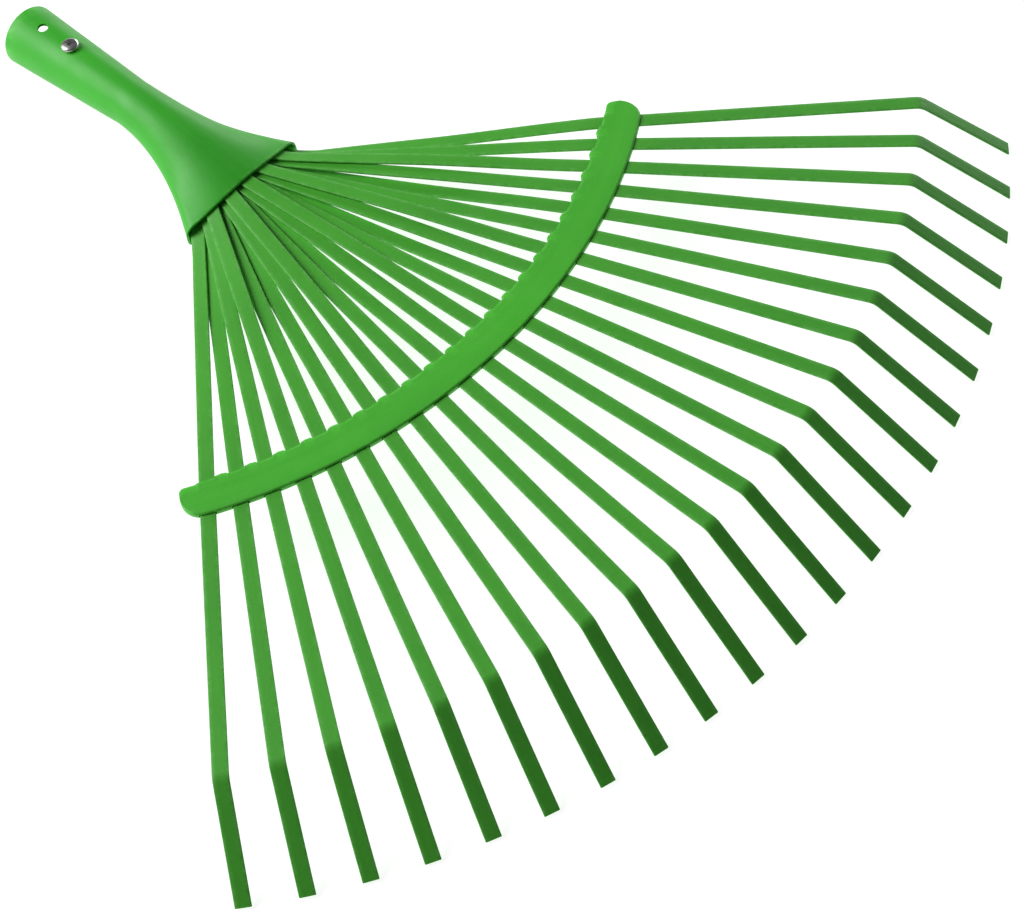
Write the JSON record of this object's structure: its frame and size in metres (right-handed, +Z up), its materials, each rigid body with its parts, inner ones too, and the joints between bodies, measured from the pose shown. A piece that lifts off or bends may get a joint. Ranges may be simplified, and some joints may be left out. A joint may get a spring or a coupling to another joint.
{
  "type": "leaf rake head",
  "caption": "Fan-shaped steel leaf rake head: rolled handle socket with flared grip, slotted crossbar and flat spring tines with turned-down ends.",
  "frame": {"origin": "centre of the bounding box in plan, on the ground plane that the tine tips and the underside of the socket mouth touch", "axes": "+X from the handle socket towards the tine tips, +Y across the fan, +Z up"},
  "size_m": [0.4352, 0.4424, 0.0343],
  "materials": {
    "socket_enamel": "gloss",
    "tine_enamel": "satin",
    "zinc_steel": "bright"
  },
  "bodies": {
    "head": {"socket": "socket_enamel", "clamp_plate": "tine_enamel", "lip_rivet_left": "socket_enamel", "lip_rivet_right": "socket_enamel", "tine_01": "tine_enamel", "tine_02": "tine_enamel", "tine_03": "tine_enamel", "tine_04": "tine_enamel", "tine_05": "tine_enamel", "tine_06": "tine_enamel", "tine_07": "tine_enamel", "tine_08": "tine_enamel", "tine_09": "tine_enamel", "tine_10": "tine_enamel", "tine_11": "tine_enamel", "tine_12": "tine_enamel", "tine_13": "tine_enamel", "tine_14": "tine_enamel", "tine_15": "tine_enamel", "tine_16": "tine_enamel", "tine_17": "tine_enamel", "tine_18": "tine_enamel", "tine_19": "tine_enamel", "tine_20": "tine_enamel", "tine_21": "tine_enamel", "tine_22": "tine_enamel", "crossbar": "tine_enamel"},
    "fixing_screw": {"handle_screw": "zinc_steel"}
  },
  "joints": [
    {"name": "screw_withdrawal", "type": "slide", "parent": "head", "child": "fixing_screw", "axis": [-0.0679, 0, 0.9977], "range_m": [0, 0.017]}
  ]
}
